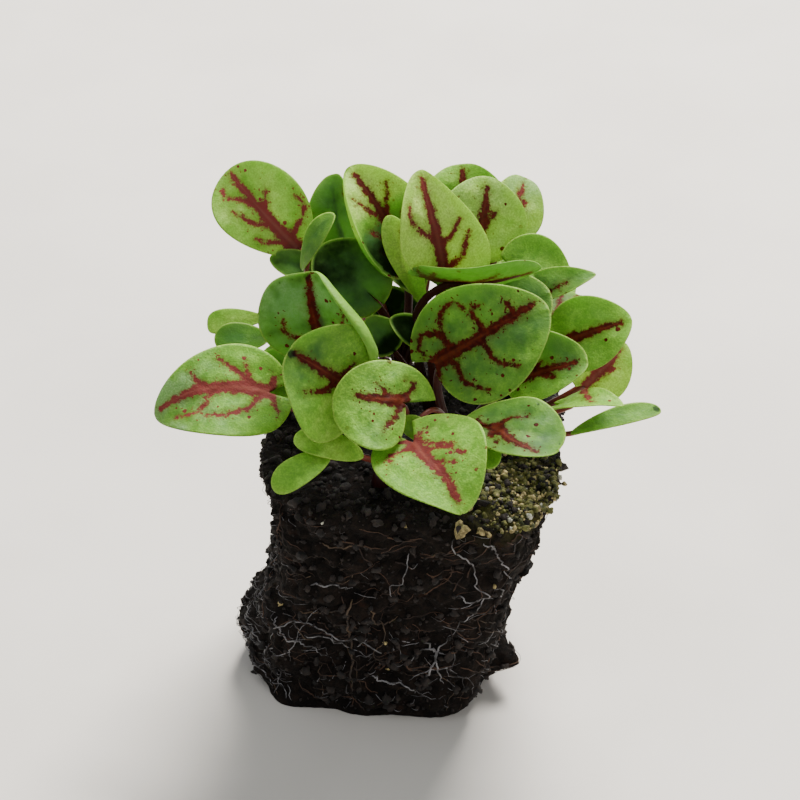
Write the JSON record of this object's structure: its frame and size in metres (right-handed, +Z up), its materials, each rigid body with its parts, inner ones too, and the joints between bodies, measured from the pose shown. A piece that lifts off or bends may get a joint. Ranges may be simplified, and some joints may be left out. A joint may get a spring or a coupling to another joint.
{
  "type": "red-veined sorrel plug plant",
  "caption": "Young red-veined sorrel seedlings in a bare rooted peat plug, oval leaves on thin petioles in a low mound over a tapered square root ball.",
  "frame": {"origin": "middle of the plug's flat base, on the surface that it stands on", "axes": "+Z up, -Y the front that the picture shows, +X to the right of the front"},
  "size_m": [0.0645, 0.0556, 0.0715],
  "materials": {
    "peat": "moist dark peat with fibres, rough",
    "root": "pale fine roots, matt",
    "leaf": "thin satin leaf, bright yellow-green with dark red veins"
  },
  "bodies": {
    "root": {"soil_plug": "peat", "surface_roots": "root", "seedling_left": "leaf", "seedling_back_left": "leaf", "seedling_front": "leaf", "seedling_front_right": "leaf", "seedling_right": "leaf", "seedling_middle": "leaf", "seedling_back_right": "leaf", "seedling_back": "leaf"}
  },
  "joints": []
}
